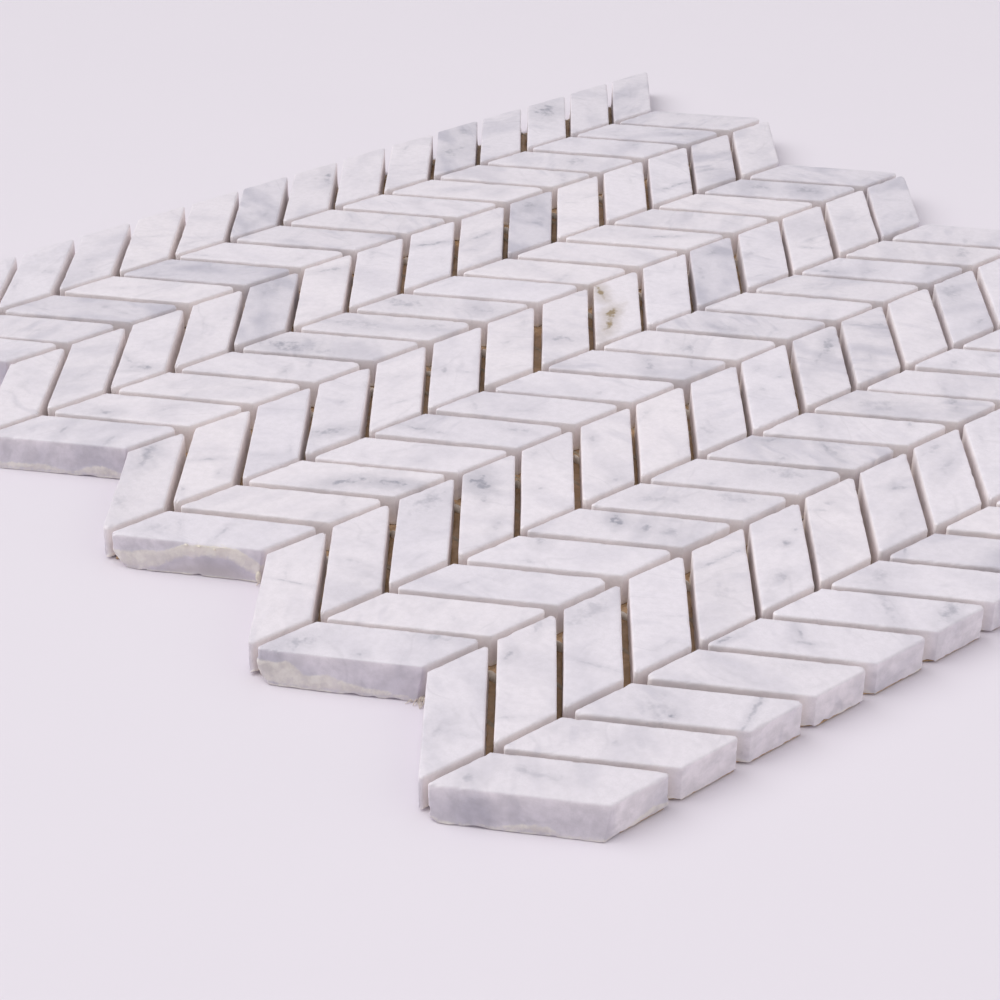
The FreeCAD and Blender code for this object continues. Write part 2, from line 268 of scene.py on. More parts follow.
# Tips of the nearest chips that show plainly: how much is off the right and the left tip, in mm
TIP_CLIPS = {(0, 0): (1.3, 0.9), (0, 1): (1.1, 1.1), (0, 2): (1.4, 1.2), (0, 3): (1.6, 1.9), (0, 4): (1.6, 1),
             (2, 0): (1.4, 1.2), (2, 1): (1.5, 0.7), (2, 2): (2.5, 1), (4, 0): (1.4, 1.2)}

# Near tips broken away towards the table: how far the left tip draws in at its foot, in mm
BROKEN_TIPS = {(0, 0): 0.4, (2, 0): 1.1, (4, 0): 1.9}

# Dried glue on the near end faces: share along the face, lowest and highest glue in mm
GLUE_SMEARS = {
    (0, 0): ((0, 0, 0.4), (0.25, 0, 0.5), (0.37, 0, 1.1), (0.47, 0, 1.8), (0.54, 0, 1.5),
             (0.62, 0, 0.5), (1, 0, 0.2)),
    (2, 0): ((0, 0, 5.4), (0.06, 0, 5.9), (0.13, 0, 4.2), (0.18, 0, 2.9), (0.3, 0, 3.5),
             (0.45, 0, 2.2), (0.68, 0, 1.3), (0.84, 0, 0.3), (1, 0, 0.2)),
    (4, 0): ((0, 0, 4.2), (0.1, 0, 4.7), (0.23, 1.4, 5.2), (0.28, 2.8, 5.8), (0.37, 4.1, 7.5),
             (0.5, 4.8, 7.9), (0.64, 4.7, 8.1), (0.71, 3.5, 7.2), (0.8, 2, 5.4), (0.88, 0.8, 3.7),
             (0.95, 0, 3.2), (1, 0, 2.6)),
    (6, 0): ((0, 0, 1.5), (0.22, 0, 1.7), (0.33, 0, 1.5), (0.49, 0, 0.7), (0.62, 0, 2.2),
             (0.7, 0, 2.7), (0.77, 0, 2.1), (0.85, 0, 0.9), (1, 0, 0.6)),
    (8, 0): ((0, 0, 1.2), (0.5, 0, 2), (1, 0, 0.8)),
}

# The same on the first chip's straight end: share along it from the near corner, highest glue in mm
END_SMEAR = ((0, 0), (0.3, 0.2), (0.54, 1.4), (0.72, 2.1), (0.9, 1.7), (1, 1.2))

# Loose net fibres on the table: root in mm, number of fibres, their length in mm
FIBRE_TUFTS = (((-131.6, -86.2), 9, 2.6), ((-130.4, -89.0), 26, 4.2), ((-131.8, -30.6), 5, 1.8))

# Lumps of dried glue at the near feet of the chips: middle and half sizes in mm
GLUE_LUMPS = (((-132.0, -29.4, 1.5), (0.7, 0.8, 1.6)), ((-131.0, -89.0, 0.4), (0.7, 1.3, 0.5)))

# Glossy crumbs of glue along the top of one near face: share along the face, height, half size in mm
GLUE_CRUMBS = ((0.345, 6.9, 0.24), (0.37, 7.2, 0.42), (0.4, 6.85, 0.2), (0.45, 7.15, 0.46),
               (0.485, 6.7, 0.26), (0.51, 7.2, 0.3), (0.55, 6.8, 0.44), (0.575, 7.2, 0.22),
               (0.61, 6.6, 0.3), (0.66, 6.5, 0.2))
CRUMB_CHIP = (4, 0)


def lean_of(column):
    """Even columns fall towards -X as Y rises; odd columns mirror them."""
    return -1 if column % 2 == 0 else 1


def column_y(column):
    """Middle line of a column."""
    return (column - (COLUMNS - 1) / 2) * COLUMN_PITCH


def chip_x(place):
    """Middle of a chip along its column."""
    return (place - (CHIPS - 1) / 2) * CHIP_PITCH


def looks_out(column, place):
    """Whether a chip lies at a near edge of the sheet, where its sides show."""
    return place == 0 or column == 0


def wavy(rng, count, waves, size):
    """A smooth random line that closes on itself, about zero."""
    knots = rng.uniform(-1, 1, max(3, int(waves)))
    at = np.arange(count) / count * len(knots)
    low = np.floor(at).astype(int)
    share = at - low
    ease = share * share * (3 - 2 * share)
    return size * (knots[low % len(knots)] * (1 - ease) + knots[(low + 1) % len(knots)] * ease)


def nicks(rng, spots, length, number, width, depth):
    """Small breaks at random places along a closed line: how deep at each spot."""
    total = np.zeros(len(spots))
    for _ in range(number):
        middle = rng.uniform(0, length)
        half = width * rng.uniform(0.4, 1.0)
        away = np.abs((spots - middle + length / 2) % length - length / 2)
        total = np.maximum(total, depth * rng.uniform(0.3, 1.0) * np.clip(1 - away / half, 0, 1) ** 0.7)
    return total


def rounded_polygon(corners, radii, step):
    """Points round a convex polygon, anticlockwise, with filleted corners."""
    points = []
    count = len(corners)
    for index in range(count):
        before, corner, after = corners[index - 1], corners[index], corners[(index + 1) % count]
        to_before = (before - corner) / np.linalg.norm(before - corner)
        to_after = (after - corner) / np.linalg.norm(after - corner)
        half = math.acos(np.clip(to_before @ to_after, -1, 1)) / 2
        bisector = (to_before + to_after) / np.linalg.norm(to_before + to_after)
        middle = corner + bisector * radii[index] / math.sin(half)
        start = math.atan2(to_before[0], -to_before[1])
        for angle in np.linspace(start, start + math.pi - 2 * half, 5):
            points.append(middle + radii[index] * np.array([math.cos(angle), math.sin(angle)]))
    return fill_straights(np.array(points), step)


def fill_straights(points, step):
    """Extra points on the long straight runs of a closed outline."""
    filled = []
    for start, end in zip(points, np.roll(points, -1, axis=0)):
        pieces = max(1, int(math.ceil(np.linalg.norm(end - start) / step)))
        filled += [start + (end - start) * share for share in np.arange(pieces) / pieces]
    return np.array(filled)


def chip_shares(column, points):
    """Where outline points lie along a chip and across it, as shares of its half sizes."""
    along = (points[:, 0] - lean_of(column) * SLOPE * points[:, 1]) / (CHIP_EDGE / 2)
    across = points[:, 1] / (CHIP_ACROSS / 2)
    return along, across


def outward(column, points):
    """How each outline point moves as all four sides step out by one unit, without folding at corners."""
    along, across = chip_shares(column, points)
    return np.column_stack([along / math.cos(LEAN) + lean_of(column) * SLOPE * across, across])


def put(name, data):
    """A new object, placed in the scene."""
    made = bpy.data.objects.new(name, data)
    bpy.context.scene.collection.objects.link(made)
    return made


class MeshParts:
    """Vertices, faces and vertex values of one piece, gathered chip by chip or strand by strand."""

    def __init__(self):
        self.vertices, self.faces, self.values = [], [], {}
        self.count = 0

    def add(self, vertices, faces, **values):
        self.vertices.append(vertices)
        self.faces += [[index + self.count for index in face] for face in faces]
        for name, value in values.items():
            self.values.setdefault(name, []).append(value)
        self.count += len(vertices)

    def build(self, name, material, sharp=None):
        """The finished object, with one attribute for each vertex value."""
        vertices = np.concatenate(self.vertices)
        mesh = bpy.data.meshes.new(name)
        mesh.from_pydata(vertices.tolist(), [], self.faces)
        for key, chunks in self.values.items():
            data = np.concatenate(chunks).astype(np.float32)
            kind, part = ("FLOAT_VECTOR", "vector") if data.ndim == 2 else ("FLOAT", "value")
            mesh.attributes.new(key, kind, "POINT").data.foreach_set(part, data.ravel())
        mesh.validate()
        mesh.shade_smooth()
        if sharp is not None:
            mesh.set_sharp_from_angle(angle=sharp)
        mesh.materials.append(material)
        return put(name, mesh)


def ring_faces(rings, count):
    """Quads between closed rings stacked one above the other, with both ends capped."""
    faces = []
    for ring in range(rings - 1):
        for index in range(count):
            following = (index + 1) % count
            low, high = ring * count, (ring + 1) * count
            faces.append([low + index, low + following, high + following, high + index])
    faces.append(list(range(count))[::-1])
    faces.append([(rings - 1) * count + index for index in range(count)])
    return faces


def chip_corners(rng, column, place):
    """The sawn parallelogram with its two sharp corners clipped, anticlockwise about its middle."""
    lean = lean_of(column)
    run = lean * CHIP_ACROSS * SLOPE / 2
    half_edge, half_across = CHIP_EDGE / 2, CHIP_ACROSS / 2
    square = np.array([[-half_edge - run, -half_across], [half_edge - run, -half_across],
                       [half_edge + run, half_across], [-half_edge + run, half_across]])
    sharp = (1, 3) if lean < 0 else (2, 0)
    usual = (rng.uniform(1.3, 2.6), rng.uniform(0.8, 1.6)) if lean < 0 else rng.uniform(0.7, 1.6, 2)
    clips = dict(zip(sharp, TIP_CLIPS.get((column, place), usual)))
    corners, radii = [], []
    for index, corner in enumerate(square):
        if index not in sharp:
            corners.append(corner)
            radii.append(rng.uniform(0.3, 0.6) * MM)
            continue
        clip = clips[index] * MM
        for other in (square[index - 1], square[(index + 1) % 4]):
            towards = (other - corner) / np.linalg.norm(other - corner)
            corners.append(corner + towards * clip)
            radii.append(clip * 0.6)
    return corners, radii


def smear_cover(smear, share, heights, ripple):
    """Glue cover on a face from a smear's lowest and highest lines, and the bare hollow below it."""
    spots, low, high = np.array(smear).T
    lowest = np.interp(share, spots, low) * MM
    highest = np.interp(share, spots, high) * MM + ripple
    band = np.minimum((heights - lowest) / SMEAR_FADE_LOW, (highest - heights) / SMEAR_FADE_HIGH)
    below = np.clip((lowest - heights) / HOLLOW_FADE, 0, 1)
    return np.clip(0.5 + band, 0, 1), below


def glue_on_chip(rng, column, place, points, heights):
    """Dried glue on each side vertex, 0 bare to 1 covered, and the hollow left under an arch of glue."""
    count = len(points)
    waves = np.abs(wavy(rng, count, count / 5, 0.25 * MM))
    tongues = nicks(rng, np.arange(count) * 1.0, count, number=3, width=count / 10, depth=0.8 * MM)
    low_edge = waves + tongues - 0.25 * MM + faces_joint(column, place, points) * 0.7 * MM
    cover = np.clip(0.5 + (low_edge - heights) / FACE_FADE, 0, 1)
    hollow = np.zeros_like(cover)
    ripple = wavy(rng, count, count / 4, 0.25 * MM)
    if (column, place) in GLUE_SMEARS:
        lean_direction = np.array([lean_of(column) * SLOPE, 1.0]) * math.cos(LEAN)
        along = points @ lean_direction
        share = np.clip(0.5 - along / (CHIP_ACROSS / math.cos(LEAN)), 0, 1)
        front = points @ np.array([-lean_direction[1], lean_direction[0]])
        on_front = np.clip((front - front.max() + FACE_REACH) / FACE_FADE, 0, 1)
        band, below = smear_cover(GLUE_SMEARS[column, place], share, heights, ripple)
        cover = np.maximum(cover, band * on_front)
        hollow = below * on_front
    if (column, place) == (0, 0):
        smear = [(share, 0.0, top) for share, top in END_SMEAR]
        share = np.clip((points[:, 0] - points[:, 0].max()) / CHIP_EDGE + 1, 0, 1)
        on_end = np.clip((points[:, 1].min() + FACE_REACH - points[:, 1]) / FACE_FADE, 0, 1)
        cover = np.maximum(cover, smear_cover(smear, share, heights, ripple)[0] * on_end)
    return cover, hollow


def ramp(value, low, high):
    """A value carried from one range to 0 to 1."""
    return np.clip((value - low) / (high - low), 0, 1)


def outer_sides(column, place, points):
    """How far each outline point looks out of the sheet at its zigzag ends and straight sides: 0 to 1."""
    along, across = chip_shares(column, points)
    near_end, far_end = place == 0, place == CHIPS - 1
    low_side, high_side = column == 0, column == COLUMNS - 1
    ends = np.maximum(ramp(-along, 0.8, 0.97) * near_end, ramp(along, 0.8, 0.97) * far_end)
    sides = np.maximum(ramp(-across, 0.85, 0.97) * low_side, ramp(across, 0.85, 0.97) * high_side)
    return ends, sides


def faces_joint(column, place, points):
    """How far each outline point looks into a joint: 0 to 1."""
    ends, sides = outer_sides(column, place, points)
    return 1 - np.maximum(ends, sides)


def front_share(column, place, points):
    """Where a near end face of an even column lies, fading out at its left tip: 0 to 1."""
    if place > 0 or lean_of(column) > 0:
        return np.zeros(len(points))
    along, across = chip_shares(column, points)
    return np.clip((-along - 0.9) / 0.08, 0, 1) * np.clip((1 - across) / 0.2, 0, 1)


def tip_share(column, points):
    """Nearness to a chip's left tip: 1 at the tip, fading out over a few millimetres."""
    corner = np.array([lean_of(column) * CHIP_ACROSS * SLOPE / 2 - CHIP_EDGE / 2, CHIP_ACROSS / 2])
    return np.exp(-np.linalg.norm(points - corner, axis=1) / TIP_REACH)


def mark_places(rng, column, place, flat):
    """For each mark slot, where every vertex lies as shares of the mark's half size, and its darkness."""
    marks = list(STONE_MARKS.get((column, place), ()))
    while len(marks) < 2:
        along = rng.uniform(-11, 11)
        aside = rng.uniform(-6, 6)
        marks.append((aside + lean_of(column) * SLOPE * along, along, rng.uniform(3, 11), rng.uniform(1.2, 3),
                      rng.uniform(-70, 70), rng.uniform(0.1, 0.3)))
    slots = {}
    for index, name in enumerate(MARK_SLOTS):
        x, y, length, width, turn, dark = marks[index] if index < len(marks) else (0, 0, 1, 1, 0, 0)
        cosine, sine = math.cos(math.radians(turn)), math.sin(math.radians(turn))
        off_x, off_y = (flat / MM - (x, y)).T
        slots[name] = np.column_stack([
            (off_x * cosine + off_y * sine) / (length / 2), (off_y * cosine - off_x * sine) / (width / 2),
            np.full(len(flat), dark)])
    return slots


def chip_rings(rng, column, place, points):
    """Rings of a chip from its foot to its top: plan, height, glue and hollow at every point."""
    count = len(points)
    spots = np.arange(count) * 1.0
    height = CHIP_TOP - CHIP_BOTTOM
    step_out = outward(column, points)
    front = front_share(column, place, points)

    hollow_side = wavy(rng, count, 9, 0.08 * MM) - SIDE_HOLLOW
    arris = rng.uniform(*ARRIS_RANGE) * MM + wavy(rng, count, count / 3, 0.1 * MM) + nicks(
        rng, spots, count, number=8, width=2.6, depth=0.5 * MM)
    foot = 0.2 * MM + wavy(rng, count, count / 2, 0.12 * MM) + nicks(
        rng, spots, count, number=10, width=3.5, depth=0.6 * MM)
    foot = np.maximum(foot, 0.06 * MM)

    shares = np.linspace(0, 1, FINE_RINGS if looks_out(column, place) else COARSE_RINGS)
    low_end = foot * 0.8 - FRONT_DROP * front
    levels = low_end[None, :] + (height - arris - low_end)[None, :] * shares[:, None]
    cover, hollow = glue_on_chip(rng, column, place, points, levels)
    rough = np.stack([wavy(rng, count, count / 2, 0.05 * MM) for _ in shares])
    bulge = hollow_side[None, :] + rough * (1.2 - shares)[:, None] + (cover * 0.2 - hollow * 0.5) * MM
    broken = BROKEN_TIPS.get((column, place), 0.0) * MM * tip_share(column, points)
    bulge -= broken[None, :] * ((1 - shares) ** 3.0)[:, None]
    flare = front[None, :] * (FRONT_FLARE / math.cos(LEAN)) * ((1 - shares) ** 1.4)[:, None]

    plans, heights, covers, hollows = [], [], [], []

    def ring(offset, level, glue, under, ahead=0.0):
        forward = np.column_stack([np.broadcast_to(ahead, count), np.zeros(count)])
        plans.append(points + step_out * offset[:, None] - forward)
        for rows, value in ((heights, level), (covers, glue), (hollows, under)):
            rows.append(np.broadcast_to(value, count))

    ring(bulge[0] - foot, -FRONT_DROP * front, cover[0], hollow[0], flare[0])
    for row in range(len(shares)):
        ring(bulge[row], levels[row], cover[row], hollow[row], flare[row])
    for angle in (0.55, 1.1, math.pi / 2):
        inset = arris * (1 - math.cos(angle))
        ring(hollow_side - inset, height - arris * (1 - math.sin(angle)), cover[-1] * 0.4, 0.0)
    ring(hollow_side - arris - TOP_BAND, height, 0.0, 0.0)
    return plans, np.stack(heights), np.concatenate(covers), np.concatenate(hollows)


def chip(parts, column, place):
    """One stone chip: clipped outline, eased and nicked arrises, glue on its sides, set a little askew."""
    rng = np.random.default_rng(CHIP_SEED + column * 50 + place)
    corners, radii = chip_corners(rng, column, place)
    points = rounded_polygon(corners, radii, FINE_STEP if looks_out(column, place) else COARSE_STEP)
    plans, heights, covers, hollows = chip_rings(rng, column, place, points)
    local = np.column_stack([np.concatenate(plans), heights.ravel()])

    # Honed top, sawn sides that look out or into a joint, and the arris between them
    upright, sawn = np.ones(heights.shape), np.ones(heights.shape)
    upright[-2:] = 0.0
    sawn[-4:] = np.array([0.45, 0.1, 0.0, 0.0])[:, None]
    # Painted light near the top of the sides, fading with depth below the top
    near_top = np.exp(-np.maximum(heights.max() - heights, 0) / LIT_DEPTH) * upright

    # Set a little askew, as laid by hand
    yaw = rng.normal(0, 0.3)
    tilt = rng.normal(0, 0.16, 2)
    turn = Matrix.Rotation(math.radians(yaw), 3, "Z") @ Matrix.Rotation(
        math.radians(tilt[0]), 3, "X") @ Matrix.Rotation(math.radians(tilt[1]), 3, "Y")
    shift = np.array([rng.normal(0, 0.14), rng.normal(0, 0.12), -abs(rng.normal(0, 0.06))]) * MM
    placed = local @ np.array(turn).T + np.array([chip_x(place), column_y(column), CHIP_BOTTOM]) + shift
    placed += np.maximum(np.array(cad_low) - placed.min(axis=0), 0)
    placed -= np.maximum(placed.max(axis=0) - np.array(cad_high), 0)
    placed[:, 2] = np.maximum(placed[:, 2], cad_low.z)

    # Where in the quarried block this chip was cut, in millimetres
    cut = Matrix.Rotation(rng.uniform(0, 2 * math.pi), 3, "Z") @ Matrix.Rotation(
        rng.uniform(-0.5, 0.5), 3, "X")
    stone = (local / MM) @ np.array(cut).T + rng.uniform(-400, 400, 3)

    grey = GREY_CHIPS.get((column, place), rng.uniform(0.02, 0.22))
    parts.add(
        placed,
        ring_faces(*heights.shape),
        stone_place=stone,
        stone_grey=np.full(len(local), grey),
        stone_warm=np.full(len(local), rng.uniform(0, 1)),
        stone_rust=np.full(len(local), float((column, place) == RUST_CHIP)),
        stone_sawn=sawn.ravel(),
        # Joint, end and near-top values carry the painted light and shade of the sawn sides
        stone_joint=(upright * faces_joint(column, place, points)).ravel(),
        stone_end=(upright * outer_sides(column, place, points)[0]).ravel(),
        stone_lit=near_top.ravel(),
        stone_hollow=hollows,
        glue=covers,
        **mark_places(rng, column, place, local[:, :2]),
    )


class Field:
    """A value, place or colour in a material's node tree, with the steps that can be taken from it."""

    def __init__(self, tree, socket):
        self.tree, self.socket = tree, socket

    def math(self, operation, other=0, clamp=False):
        return field(self.tree, "ShaderNodeMath", {0: self, 1: other}, operation=operation, use_clamp=clamp)

    def __add__(self, other):
        return self.math("ADD", other)

    def __sub__(self, other):
        return self.math("SUBTRACT", other)

    def __mul__(self, other):
        return self.math("MULTIPLY", other)

    def remap(self, low, high, to_low=0, to_high=1):
        """The value carried smoothly from one range to another."""
        return field(self.tree, "ShaderNodeMapRange", {
            "Value": self, "From Min": low, "From Max": high, "To Min": to_low, "To Max": to_high},
            interpolation_type="SMOOTHSTEP")

    def vector(self, operation, other=(0, 0, 0), output="Vector"):
        return field(self.tree, "ShaderNodeVectorMath", {0: self, 1: other}, output, operation=operation)

    def stretch(self, scale):
        """The place stretched along its axes."""
        return self.vector("MULTIPLY", scale)

    def noise(self, scale, detail=3, roughness=0.5, output="Fac"):
        """Soft noise at the place, about 0.5."""
        return field(self.tree, "ShaderNodeTexNoise", {
            "Vector": self, "Scale": scale, "Detail": detail, "Roughness": roughness}, output)

    def drift(self, scale, roughness=0.5):
        """A slow random push in all directions, about zero."""
        return self.noise(scale, 2, roughness, "Color").vector("SUBTRACT", (0.5, 0.5, 0.5))

    def tinted(self, tint):
        """The colour multiplied by another one, or by a value."""
        return blend(1, self, tint, "MULTIPLY")


def connect(tree, socket, value):
    """An input linked to a field or set to a plain value."""
    if isinstance(value, Field):
        tree.links.new(value.socket, socket)
    else:
        socket.default_value = value


def field(tree, kind, inputs=(), output=0, **settings):
    """One output of a new shader node with these inputs and settings."""
    made = tree.nodes.new(kind)
    for name, value in settings.items():
        setattr(made, name, value)
    for key, value in dict(inputs).items():
        connect(tree, made.inputs[key], value)
    return Field(tree, made.outputs[output])


def new_material(name):
    """A new material and its node tree."""
    material = bpy.data.materials.new(name)
    material.use_nodes = True
    return material, material.node_tree


def surface(tree, colour, roughness, height, strength, distance):
    """Colour, roughness and relief given to the material's shader."""
    relief = field(tree, "ShaderNodeBump", {"Strength": strength, "Distance": distance, "Height": height})
    inputs = tree.nodes["Principled BSDF"].inputs
    connect(tree, inputs["Base Color"], colour)
    connect(tree, inputs["Roughness"], roughness)
    connect(tree, inputs["Normal"], relief)


def attribute(tree, name, output="Fac"):
    """A value stored on the vertices."""
    return field(tree, "ShaderNodeAttribute", output=output, attribute_name=name)


def object_place(tree):
    """The place on the object, in metres."""
    return field(tree, "ShaderNodeTexCoord", output="Object")


def blend(share, first, second, kind="MIX"):
    """Two colours mixed by a share, at the sockets that a mix node has for colours."""
    tree = share.tree if isinstance(share, Field) else first.tree
    return field(tree, "ShaderNodeMix", {0: share, 6: first, 7: second}, 2, data_type="RGBA", blend_type=kind)


def vein_lines(place, scale, width):
    """Thin lines along the middle level of a noise."""
    away = (place.noise(scale, 2.5, 0.55) - 0.5).math("ABSOLUTE")
    return away.remap(0, width, 1, 0)


def stone_marks(tree, place):
    """How dark the marks of a chip are at a place: soft, streaky and ragged, with a haze around them."""
    push = place.drift(0.35, 0.55).stretch((1.9, 1.9, 0))
    streaky = place.noise(0.5, 2, 0.55).remap(0.32, 0.66, 0.45, 1.2)
    darkest = 0
    for name in MARK_SLOTS:
        around = attribute(tree, name, "Vector")
        away = around.stretch((1, 1, 0)).vector("ADD", push).vector("LENGTH", output="Value")
        core = away.remap(0, 1.35, 1, 0) * streaky
        haze = away.remap(0.3, 3, 0.34, 0)
        dark = field(tree, "ShaderNodeSeparateXYZ", {0: around}, "Z")
        darkest = (core.math("MAXIMUM", haze) * dark).math("MAXIMUM", darkest)
    return darkest


def stone_colour(tree, place, grain, outer_side):
    """White stone with soft grey clouds, streaks along one direction, faint veins and darker marks."""
    grey = attribute(tree, "stone_grey")
    bent = place.vector("ADD", place.drift(0.05).stretch((9, 9, 9)))
    fuzz = (grain - 0.5) * 0.22
    clouds = (bent.stretch((0.5, 1, 0.8)).noise(0.1, 2) + fuzz).remap(0.42, 0.72)
    streaks = (bent.stretch((0.25, 1, 0.5)).noise(0.26, 2) + fuzz).remap(0.5, 0.76)
    patches = place.noise(0.07, 1).remap(0.42, 0.6)
    veins = patches * vein_lines(bent.stretch((0.4, 1, 0.7)), 0.06, 0.022)
    cloud_share = clouds * (grey.remap(0, 1, 0.24, 0.6) + outer_side * 0.3)
    streak_share = streaks * patches * grey.remap(0, 1, 0.26, 0.6)
    body_share = cloud_share.math("MAXIMUM", streak_share).math("ADD", grey * 0.34, clamp=True)

    white = blend(attribute(tree, "stone_warm"), WHITE_COOL, WHITE_WARM)
    colour = blend(veins * 0.12, blend(body_share, white, CLOUD_GREY), VEIN_GREY)
    mark_colour = blend(attribute(tree, "stone_rust"), MARK_GREY, MARK_RUST)
    colour = blend(stone_marks(tree, place).math("MULTIPLY", 1.15, clamp=True), colour, mark_colour)
    mottle = place.noise(0.6, 2, 0.6).remap(0.3, 0.7, 0.97, 1.025)
    colour = colour.tinted(mottle * grain.remap(0.25, 0.75, 0.965, 1.03))
    blotch = bent.stretch((1, 0.7, 1)).noise(0.3, 3, 0.55).remap(0.36, 0.64, 0.9, 1.03)
    return blend(outer_side, colour, colour.tinted(blotch))


def marble_material():
    """White marble, honed on top and sawn at the sides, with dried glue on it."""
    material, tree = new_material("marble")
    place = attribute(tree, "stone_place", "Vector")
    sawn, joint, lit = (attribute(tree, "stone_" + name) for name in ("sawn", "joint", "lit"))
    grain = place.noise(2.6, 3, 0.7)
    colour = stone_colour(tree, place, grain, sawn.math("SUBTRACT", joint, clamp=True))

    # Sawn sides: painted shade on the zigzag ends, warm painted light deep in the joints, painted light near
    # the top
    painted_side_light = blend(joint, blend(attribute(tree, "stone_end"), SIDE_PAINTED_LIGHT, END_PAINTED_SHADE), JOINT_PAINTED_LIGHT)
    painted_side_light = blend(lit, painted_side_light, blend(joint, TOP_SIDE_PAINTED_LIGHT, TOP_JOINT_PAINTED_LIGHT))
    colour = colour.tinted(blend(sawn, NO_TINT, painted_side_light))
    # Greyer under the arch of glue, more so towards the foot of the face
    colour = blend(attribute(tree, "stone_hollow") * 0.65, colour, HOLLOW_GREY)

    # Dried glue, ragged at its edge and thicker near the top
    world = object_place(tree)
    glue = (attribute(tree, "glue") + (world.noise(900, 4, 0.65) - 0.5)).remap(0.3, 0.9)
    glue_tone = world.noise(420, 3, 0.6).remap(0.3, 0.7)
    glue_body = glue_tone.remap(0, 1, 0.35, 0.65) + lit * 0.4
    glue_colour = blend(glue_tone, SMEAR_DARK, SMEAR_PALE)
    colour = blend(glue.math("MULTIPLY", glue_body, clamp=True), colour, glue_colour)

    rough_stone = grain.remap(0.3, 0.7, 0.4, 0.5) + sawn * 0.2
    rough = field(tree, "ShaderNodeMix", {0: glue, 2: rough_stone, 3: 0.34})
    saw = world.stretch((1, 1, 0.6)).noise(1300, 3, 0.6)
    height = grain * 0.25 + saw * (sawn * 0.9) + glue * 0.8
    surface(tree, colour, rough, height, 0.35, 0.12 * MM)
    return material


def yarn_material(name, pale, stained):
    """Fibre yarn with more or less glue in it, streaked along the yarn."""
    material, tree = new_material(name)
    place = attribute(tree, "yarn_place", "Vector")
    fibres = place.stretch((0.12, 1, 1)).noise(9, 3, 0.6)
    stain = place.noise(0.25).remap(0.35, 0.68)
    colour = blend(stain, pale, stained).tinted(fibres.remap(0.3, 0.7, 0.8, 1.08))
    surface(tree, colour, fibres.remap(0.3, 0.7, 0.5, 0.7), fibres, 0.6, 0.08 * MM)
    return material


def glue_material(name, dark, pale):
    """Dried glue: patchy, crazed by fine dark lines, a little glossy."""
    material, tree = new_material(name)
    place = object_place(tree)
    patches = place.noise(160, 4, 0.6).remap(0.32, 0.7)
    ripples = place.noise(700, 3, 0.6)
    to_edge = field(tree, "ShaderNodeTexVoronoi", {"Vector": place, "Scale": 230}, feature="DISTANCE_TO_EDGE")
    lines = to_edge.remap(0, 0.12, 0.9, 1)
    colour = blend(patches, dark, pale).tinted(lines * ripples.remap(0.3, 0.7, 0.9, 1.06))
    surface(tree, colour, ripples.remap(0.3, 0.7, 0.32, 0.55), ripples, 0.5, 0.2 * MM)
    return material


def end_reach(column, y, setback):
    """Lowest and highest X of the sheet at one Y of a column, drawn in by a setback."""
    half = (CHIPS - 1) / 2 * CHIP_PITCH + CHIP_EDGE / 2 - setback / math.cos(LEAN)
    middle = lean_of(column) * SLOPE * (y - column_y(column))
    return middle - half, middle + half


def yarn(parts, path, width, thickness, sides=6):
    """A flat yarn along a path of points: an oval section carried along it, with closed ends."""
    ahead = np.gradient(path, axis=0)
    ahead /= np.linalg.norm(ahead, axis=1)[:, None]
    up = np.array([0.0, 0.0, 1.0])
    side = np.cross(up, ahead)
    side /= np.linalg.norm(side, axis=1)[:, None]
    angles = np.arange(sides) / sides * 2 * math.pi
    taper = np.ones((len(path), 1))
    taper[0] = taper[-1] = 0.6
    across = np.cos(angles) * width / 2 * taper
    lift = np.sin(angles) * thickness / 2 * taper
    vertices = path[:, None] + side[:, None] * across[..., None] + up * lift[..., None]
    run = np.concatenate([[0], np.cumsum(np.linalg.norm(np.diff(path, axis=0), axis=1))])
    start_x, start_y = path[0][:2] * YARN_PHASE
    places = np.stack([np.broadcast_to(run[:, None] / MM + start_x, across.shape), across / MM,
                       start_y + lift / MM], axis=-1)
    parts.add(vertices.reshape(-1, 3), ring_faces(len(path), sides), yarn_place=places.reshape(-1, 3))


def strip_sides(column, setback):
    """Lowest and highest Y of the net under a column: its seams, or the sheet's own side less a setback."""
    middle = column_y(column)
    to_side = CHIP_ACROSS / 2 - setback
    low = middle - (to_side if column == 0 else COLUMN_PITCH / 2)
    high = middle + (to_side if column == COLUMNS - 1 else COLUMN_PITCH / 2)
    return low, high


def net_strip(column, material):
    """The net under one column: flat yarns across, and pairs of thin yarns along that twist between them."""
    rng = np.random.default_rng(NET_SEED + column)
    parts = MeshParts()
    side_low, side_high = strip_sides(column, FILM_SETBACK)
    thick = STRAND_LAYER * 0.96
    points = 13
    for x in NET_ROWS:
        reaches = [(y, end_reach(column, y, FILM_SETBACK)) for y in np.linspace(side_low, side_high, points)]
        inside = [y for y, reach in reaches if reach[0] < x < reach[1]]
        if len(inside) < 3:
            continue
        ys = np.linspace(inside[0], inside[-1], points)
        sway = np.sin(ys / COLUMN_PITCH * 2 * math.pi + x * 90) * 0.12 * MM
        path = np.column_stack([x + sway, ys, np.full(points, STRAND_LAYER * 1.5)])
        yarn(parts, path, STRAND_WIDTH * rng.uniform(0.85, 1.0), thick)

    for y in NET_ROWS[(NET_ROWS > side_low) & (NET_ROWS < side_high)]:
        xs = np.arange(*end_reach(column, y, FILM_SETBACK), NET_PITCH / 8)
        for strand in (-1, 1):
            swing = strand * np.cos(xs / NET_PITCH * math.pi) * STRAND_WIDTH * 0.26
            path = np.column_stack([xs, y + swing, np.full(len(xs), STRAND_LAYER / 2)])
            yarn(parts, path, STRAND_WIDTH * 0.46, thick)
    return parts.build(f"backing_net_yarns_{column + 1:02d}", material)


